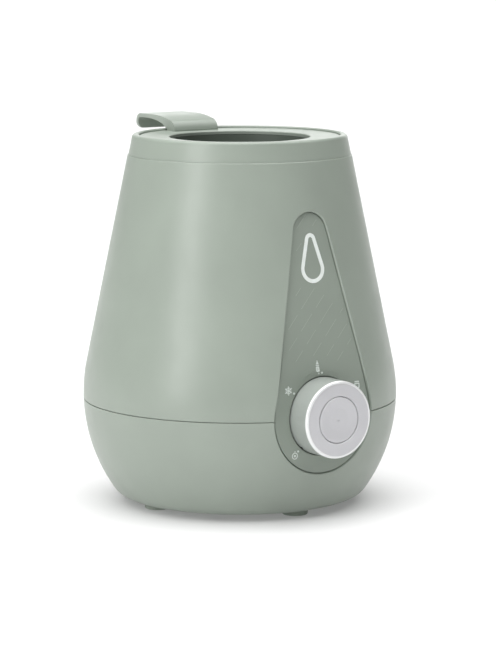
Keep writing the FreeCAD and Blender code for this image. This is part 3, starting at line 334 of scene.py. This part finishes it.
def mark_print():
    surface = Surface("pale_printed_ink")
    surface.colour(linear(203, 211, 205), linear(216, 223, 218), surface.noise(0.6 * MM))
    surface.roughness(0.5, 0.65, surface.noise(0.8 * MM))
    surface.relief(surface.noise(0.15 * MM), 0.004 * MM)
    return surface.material


def silver_paint(name, colour, gloss):
    """Metallic paint over plastic: flakes too small to see one by one, under a thin clear coat."""
    surface = Surface(name, metallic=0.3, coat=0.25)
    surface.shader.inputs["Coat Roughness"].default_value = 0.3
    surface.colour(shade(colour, 0.97), shade(colour, 1.02), surface.cells(0.12 * MM))
    surface.roughness(gloss - 0.04, gloss + 0.05, surface.noise(5 * MM, detail=4.0))
    surface.relief(surface.noise(7 * MM), 0.003 * MM)
    return surface.material


def knob_silver():
    # Silver paint with a green cast: the green is a painted reflection of the sage panel beside the
    # knob.
    return silver_paint("silver_knob_paint_painted_reflection", linear(171, 177, 172), gloss=0.42)


def knob_face_silver():
    return silver_paint("silver_face_paint", linear(201, 201, 204), gloss=0.42)


def knob_bright():
    surface = Surface("satin_knob_ring_painted_highlight", metallic=0.25, coat=0.4)
    surface.shader.inputs["Coat Roughness"].default_value = 0.2
    clouds = surface.noise(4 * MM, detail=4.0)
    # Near-white colour: partly the bright plated ring's own, partly a painted highlight standing in
    # for the bevel's reflections.
    surface.colour(linear(232, 233, 233), linear(240, 241, 241), clouds)
    surface.roughness(0.28, 0.36, clouds)
    surface.relief(clouds, 0.002 * MM)
    return surface.material


def screw_steel():
    surface = Surface("zinc_plated_steel", metallic=1.0)
    clouds = surface.noise(0.8 * MM, detail=5.0)
    surface.colour(linear(150, 153, 158), linear(188, 190, 192), clouds)
    surface.roughness(0.28, 0.45, clouds)
    surface.relief(surface.noise(0.2 * MM, stretch=(1, 1, 0.3)), 0.004 * MM)
    return surface.material


def tank_aluminium():
    return spun("spun_tank_aluminium", linear(196, 199, 201), gloss=0.36, stretch=(0.01, 0.01, 1))


def plate_aluminium():
    surface = Surface("cast_heater_aluminium", metallic=1.0)
    clouds = surface.noise(6 * MM, detail=6.0)
    surface.colour(linear(158, 160, 162), linear(196, 197, 196), clouds)
    surface.roughness(0.42, 0.6, surface.noise(1.2 * MM, detail=4.0))
    surface.relief(surface.cells(0.6 * MM), 0.012 * MM)
    return surface.material


def seal_silicone():
    surface = Surface("translucent_silicone", specular=0.4)
    surface.shader.inputs["Subsurface Weight"].default_value = 0.35
    surface.shader.inputs["Subsurface Radius"].default_value = (0.003, 0.003, 0.003)
    surface.colour(linear(205, 206, 200), linear(222, 222, 216), surface.noise(5 * MM))
    surface.roughness(0.45, 0.6, surface.noise(2 * MM))
    surface.relief(surface.noise(0.5 * MM), 0.01 * MM)
    return surface.material


def heater_steel():
    """Stainless sheath that heat has tinted from grey to straw in patches."""
    surface = Surface("heat_tinted_steel", metallic=1.0)
    surface.colour(linear(138, 136, 134), linear(176, 164, 142), surface.noise(11 * MM, detail=5.0))
    surface.roughness(0.3, 0.5, surface.noise(2 * MM, detail=4.0))
    surface.relief(surface.noise(0.3 * MM), 0.005 * MM)
    return surface.material


def sensor_body():
    return moulded("ivory_ceramic", linear(214, 208, 192), gloss=0.5, grain=0.4 * MM, spread=0.05)


def circuit_board():
    """Green solder resist with paler copper tracks showing through it."""
    surface = Surface("green_circuit_board", coat=0.4)
    tracks = surface.nodes.new("ShaderNodeTexBrick")
    tracks.inputs["Scale"].default_value = 1.0
    tracks.inputs["Mortar Size"].default_value = 0.06
    surface.links.new(surface.scaled(7 * MM, (1, 1, 1)), tracks.inputs["Vector"])
    surface.colour(linear(28, 84, 52), linear(62, 122, 74), tracks.outputs["Fac"])
    surface.roughness(0.3, 0.42, surface.noise(3 * MM))
    surface.relief(tracks.outputs["Fac"], 0.02 * MM)
    return surface.material


def component_dark():
    colour = linear(38, 40, 43)
    return moulded("dark_component_plastic", colour, gloss=0.4, grain=0.25 * MM, spread=0.12)


def component_blue():
    colour = linear(46, 92, 148)
    return moulded("blue_component_plastic", colour, gloss=0.35, grain=0.3 * MM, spread=0.08)


def component_yellow():
    """Layers of insulating tape round the transformer."""
    surface = Surface("yellow_winding_tape", coat=0.2)
    layers = surface.bands(1.6 * MM, "Z")
    surface.colour(linear(196, 158, 48), linear(226, 190, 82), layers)
    surface.roughness(0.3, 0.5, layers)
    surface.relief(layers, 0.05 * MM)
    return surface.material


def led_lens():
    surface = Surface("milky_lamp_lens", coat=0.5)
    surface.shader.inputs["Transmission Weight"].default_value = 0.35
    surface.colour(linear(226, 230, 228), linear(240, 243, 241), surface.noise(1.5 * MM))
    surface.roughness(0.12, 0.22, surface.noise(1 * MM))
    return surface.material


def inlet_black():
    return moulded("black_inlet_nylon", linear(30, 31, 32), gloss=0.5, grain=0.3 * MM, spread=0.15)


def pin_brass():
    return spun("nickelled_brass", linear(206, 190, 140), gloss=0.28, stretch=(1, 0.05, 1))


def lead_white():
    surface = Surface("white_lead_insulation", specular=0.4)
    surface.colour(linear(216, 216, 210), linear(232, 232, 227), surface.noise(8 * MM))
    surface.roughness(0.38, 0.52, surface.noise(3 * MM))
    surface.relief(surface.noise(0.5 * MM), 0.01 * MM)
    return surface.material


def basket_plastic():
    # The basket's dark grey-green is painted shade, standing in for the shadow down in the well.
    return moulded("basket_plastic_painted_shade", linear(92, 101, 92), gloss=0.5, grain=0.5 * MM, spread=0.05)


def floor_paper():
    """White paper over a light table, which keeps the shadows pale."""
    surface = Surface("white_paper_floor", specular=0.1)
    surface.colour(linear(210, 210, 210), linear(213, 213, 213), surface.noise(300 * MM))
    surface.shader.inputs["Emission Color"].default_value = (1, 1, 1, 1)
    surface.shader.inputs["Emission Strength"].default_value = FLOOR_GLOW
    surface.roughness(0.75, 0.85, surface.noise(50 * MM))
    return surface.material


# Each of these is named after the material slot that it finishes
SLOT_FINISHES = [
    shell_plastic, panel_plastic, foot_rubber, light_guide,
    knob_silver, knob_face_silver, knob_bright, screw_steel,
    tank_aluminium, plate_aluminium, seal_silicone, heater_steel,
    sensor_body, circuit_board, component_dark, component_blue,
    component_yellow, led_lens, inlet_black, pin_brass,
    lead_white, basket_plastic,
]


def dress_cad_nodes():
    """Give each CAD node the finish that its material slot is named after."""
    finishes = {make.__name__: make() for make in SLOT_FINISHES}
    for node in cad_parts.values():
        for slot in node.material_slots:
            slot.material = finishes[slot.material.name]


# ---- The panel's raised marks -------------------------------------------------------------------

MARK_HEIGHT = 0.12 * MM
MARK_ROOT = 0.08 * MM
RIB_HEIGHT = 0.07 * MM
RIB_WIDTH = 0.26 * MM
RIB_CREST = 0.3
RIB_SPACING = 9.5 * MM
RIB_SLOPE = math.radians(47)
RIB_MARGIN = 1.6 * MM
RIB_STEP = 1.0 * MM
RIB_START = 24 * MM
MARK_CLEARANCE = 5.5 * MM
DOT_RADIUS_MM = 0.55
WELD_DISTANCE = 0.002 * MM
IN_FRONT = 10 * MM
FACE_TOLERANCE = 0.3 * MM

# How ribs are broken into dashes, counted in rib steps
DASH_GAP = 3
DASH_LEAST = 6
DASH_SPREAD = 9
DASH_SHIFT = 7
SHORTEST_RUN = 5

# How fast the dashes' starts and lengths change from one rib to the next
START_STRIDE = 5
LENGTH_STRIDE = 3

# Ribs whose foot is above the panel's top still cross the panel lower down
RIBS_PAST_THE_TOP = 12

knob_low, knob_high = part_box("knob_body")
KNOB_CENTRE = (knob_low + knob_high) / 2


def tree_of(node):
    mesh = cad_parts[node].data
    return BVHTree.FromPolygons([v.co for v in mesh.vertices], [p.vertices for p in mesh.polygons])


PANEL_TREE = tree_of("control_panel")
LIGHT_TREE = tree_of("status_light")
FRONT = Vector((0, 1, 0))


def seen_from_front(tree, x, z):
    """Where a line from in front of the object first meets a node, or None."""
    start = Vector((x, cad_box[0].y - IN_FRONT, z))
    return tree.ray_cast(start, FRONT)[0]


def panel_y(x, z):
    """How far back the panel's face lies at a place on it."""
    return seen_from_front(PANEL_TREE, x, z).y


def circle(x, z, radius, sides=28):
    turns = [2 * math.pi * side / sides for side in range(sides)]
    return [(x + radius * math.cos(turn), z + radius * math.sin(turn)) for turn in turns]


def rounded_box(x0, x1, z0, z1, radius, steps=5):
    """The outline of a box with round corners."""
    outline = []
    corners = [(x1, z1, 0), (x0, z1, 1), (x0, z0, 2), (x1, z0, 3)]
    for x, z, quarter in corners:
        centre_x = x - radius if x == x1 else x + radius
        centre_z = z - radius if z == z1 else z + radius
        for step in range(steps + 1):
            turn = (quarter + step / steps) * math.pi / 2
            outline.append((centre_x + radius * math.cos(turn), centre_z + radius * math.sin(turn)))
    return outline


def bottle_mark():
    """A feeding bottle: a teat, a neck ring and a body with two level lines, over a small dot."""
    teat = [(-0.85, 0.9), (-0.55, 1.55), (-0.28, 1.95), (-0.2, 2.6), (0, 2.85)]
    teat += [(-x, z) for x, z in reversed(teat[:-1])]
    return [
        teat,
        rounded_box(-1.0, 1.0, 0.1, 0.6, 0.2),
        rounded_box(-0.95, 0.95, -2.85, -0.2, 0.45),
        rounded_box(-0.45, 0.6, -1.15, -0.95, 0.08),
        rounded_box(-0.45, 0.6, -1.95, -1.75, 0.08),
        circle(0.4, -3.75, 0.45, sides=16),
    ]


def snowflake_mark():
    """Six arms, each with a pair of short branches, as one outline."""
    half_arm = [(0.22, 0.45), (0.22, 0.94), (0.73, 1.36), (0.58, 1.66), (0.22, 1.38), (0.22, 2.3)]
    sides = [(-x, z) for x, z in half_arm] + list(reversed(half_arm))
    outline = []
    for arm in range(6):
        turn = math.radians(60) * arm
        for x, z in sides:
            across = x * math.cos(turn) + z * math.sin(turn)
            up = z * math.cos(turn) - x * math.sin(turn)
            outline.append((across, up))
    return [outline]


def jar_mark():
    """A food jar: a lid and a body with a window."""
    return [
        rounded_box(-1.35, 1.35, 1.15, 1.8, 0.2),
        rounded_box(-1.6, 1.6, -2.0, 0.85, 0.5),
        rounded_box(-1.05, 1.05, -1.3, 0.2, 0.3),
    ]


def timer_mark():
    """A ring with a dot in it and a short stem above it."""
    return [
        circle(0, 0, 1.75),
        circle(0, 0, 1.3),
        circle(0, 0, 0.6),
        rounded_box(-0.4, 0.4, 1.95, 2.35, 0.15),
    ]


def flat_mesh(name, loops):
    """A plate from outlines in millimetres, where an outline inside another is a hole."""
    curve = bpy.data.curves.new(name, "CURVE")
    curve.dimensions = "2D"
    curve.fill_mode = "BOTH"
    curve.extrude = (MARK_HEIGHT + MARK_ROOT) / 2
    for loop in loops:
        spline = curve.splines.new("POLY")
        spline.points.add(len(loop) - 1)
        for point, (x, z) in zip(spline.points, loop):
            point.co = (x * MM, z * MM, 0, 1)
        spline.use_cyclic_u = True
    holder = bpy.data.objects.new(name + "_outline", curve)
    bpy.context.scene.collection.objects.link(holder)
    evaluated = holder.evaluated_get(bpy.context.evaluated_depsgraph_get())
    mesh = bpy.data.meshes.new_from_object(evaluated)
    bpy.data.objects.remove(holder)
    return mesh


def add_piece(name, mesh, material, body):
    """Make a piece from a mesh, riding on a body, with a given finish."""
    mesh.name = name
    mesh.materials.clear()
    mesh.materials.append(material)
    piece = bpy.data.objects.new(name, mesh)
    bpy.context.scene.collection.objects.link(piece)
    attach(piece, body)


def weld(mesh):
    """Join the corners that lie on one another, so that the mesh is closed."""
    work = bmesh.new()
    work.from_mesh(mesh)
    bmesh.ops.remove_doubles(work, verts=work.verts, dist=WELD_DISTANCE)
    bmesh.ops.recalc_face_normals(work, faces=work.faces)
    work.to_mesh(mesh)
    work.free()


def add_mark(name, loops, x, z, material):
    """Lay a flat mark on the panel's face at a place, standing a little proud of it."""
    mesh = flat_mesh(name, loops)
    middle = (MARK_HEIGHT - MARK_ROOT) / 2
    for vertex in mesh.vertices:
        across, up, out = vertex.co
        vertex.co = (x + across, panel_y(x + across, z + up) - middle - out, z + up)
    weld(mesh)
    add_piece(name, mesh, material, "base")


def on_dial(angle, radius):
    """A place round the knob, by its angle from the top, clockwise from the front."""
    turn = math.radians(angle)
    return KNOB_CENTRE.x + radius * math.sin(turn), KNOB_CENTRE.z + radius * math.cos(turn)


# name, outline, angle and distance from the knob's axis, angle and distance of its dot
DIAL_MARKS = [
    ("mark_bottle", bottle_mark, -5, 25.3 * MM, 0.5, 21.7 * MM),
    ("mark_snowflake", snowflake_mark, -54.5, 25.0 * MM, -53, 21.4 * MM),
    ("mark_jar", jar_mark, 57, 25.4 * MM, 63, 21.6 * MM),
    ("mark_timer", timer_mark, -138, 25.1 * MM, -138, 22.2 * MM),
]


def add_dial_marks():
    material = mark_print()
    for name, outline, angle, radius, dot_angle, dot_radius in DIAL_MARKS:
        add_mark(name, outline(), *on_dial(angle, radius), material)
        dot = [circle(0, 0, DOT_RADIUS_MM, sides=16)]
        add_mark(name + "_dot", dot, *on_dial(dot_angle, dot_radius), material)


def is_bare_panel(x, z):
    """Whether a place is on the panel's face, clear of its edge, the light and the dial's marks."""
    for across, up in [(0, 0), (-1, 0), (1, 0), (0, -1), (0, 1)]:
        place = (x + across * RIB_MARGIN, z + up * RIB_MARGIN)
        face = seen_from_front(PANEL_TREE, *place)
        if face is None or seen_from_front(LIGHT_TREE, *place) is not None:
            return False
        if abs(face.y - panel_y(KNOB_CENTRE.x, z + up * RIB_MARGIN)) > FACE_TOLERANCE:
            return False
    marks = [on_dial(angle, radius) for _, _, angle, radius, _, _ in DIAL_MARKS]
    return all(math.hypot(x - mark_x, z - mark_z) > MARK_CLEARANCE for mark_x, mark_z in marks)


def rib_runs(foot):
    """The bare stretches of one slanting line that starts at a height on the panel's middle line."""
    low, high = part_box("control_panel")
    along = Vector((math.cos(RIB_SLOPE), 0, math.sin(RIB_SLOPE)))
    reach = (high.z - low.z) / 2
    steps = int(reach / RIB_STEP)
    runs = []
    run = []
    for step in range(-steps, steps + 1):
        point = Vector((KNOB_CENTRE.x, 0, foot)) + along * step * RIB_STEP
        above_dial = point.z > KNOB_CENTRE.z + RIB_START
        if above_dial and point.z < high.z and is_bare_panel(point.x, point.z):
            run.append(point)
        elif run:
            runs.append(run)
            run = []
    return [run for run in runs if len(run) >= SHORTEST_RUN]


def broken(run, number):
    """Break a run into dashes, so that the pattern looks like rain and not like a grille."""
    dashes = []
    start = (number * START_STRIDE) % DASH_SHIFT
    while start + DASH_GAP < len(run):
        length = DASH_LEAST + (number * LENGTH_STRIDE + start) % DASH_SPREAD
        dash = run[start:start + length]
        if len(dash) > DASH_GAP:
            dashes.append(dash)
        start += length + DASH_GAP
    return dashes


def add_rib(work, points):
    """A thin raised line with tapered sides along points on the panel's face."""
    across = Vector((math.sin(RIB_SLOPE), 0, -math.cos(RIB_SLOPE)))
    half = RIB_WIDTH / 2
    crest = RIB_WIDTH * RIB_CREST
    section = [(-half, MARK_ROOT), (-crest, -RIB_HEIGHT), (crest, -RIB_HEIGHT), (half, MARK_ROOT)]
    rows = []
    for point in points:
        row = []
        for side, back in section:
            place = point + across * side
            place.y = panel_y(point.x, point.z) + back
            row.append(work.verts.new(place))
        rows.append(row)
    count = len(section)
    for before, after in zip(rows, rows[1:]):
        for corner in range(count):
            following = (corner + 1) % count
            work.faces.new([before[corner], before[following], after[following], after[corner]])
    work.faces.new(list(reversed(rows[0])))
    work.faces.new(rows[-1])


def add_panel_ribs():
    low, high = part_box("control_panel")
    work = bmesh.new()
    count = int((high.z - low.z) / RIB_SPACING) + RIBS_PAST_THE_TOP
    for number in range(count):
        foot = low.z + number * RIB_SPACING
        for run in rib_runs(foot):
            for dash in broken(run, number):
                add_rib(work, dash)
    bmesh.ops.recalc_face_normals(work, faces=work.faces)
    mesh = bpy.data.meshes.new("panel_ribs")
    work.to_mesh(mesh)
    work.free()
    add_piece("panel_ribs", mesh, rib_plastic(), "base")


# ---- Build --------------------------------------------------------------------------------------

dress_cad_nodes()
add_dial_marks()
add_panel_ribs()
add_floor(floor_paper())
add_world()
add_camera()
add_ceiling()
for softbox in SOFTBOXES:
    add_softbox(*softbox)
bpy.context.scene.view_settings.view_transform = "Standard"
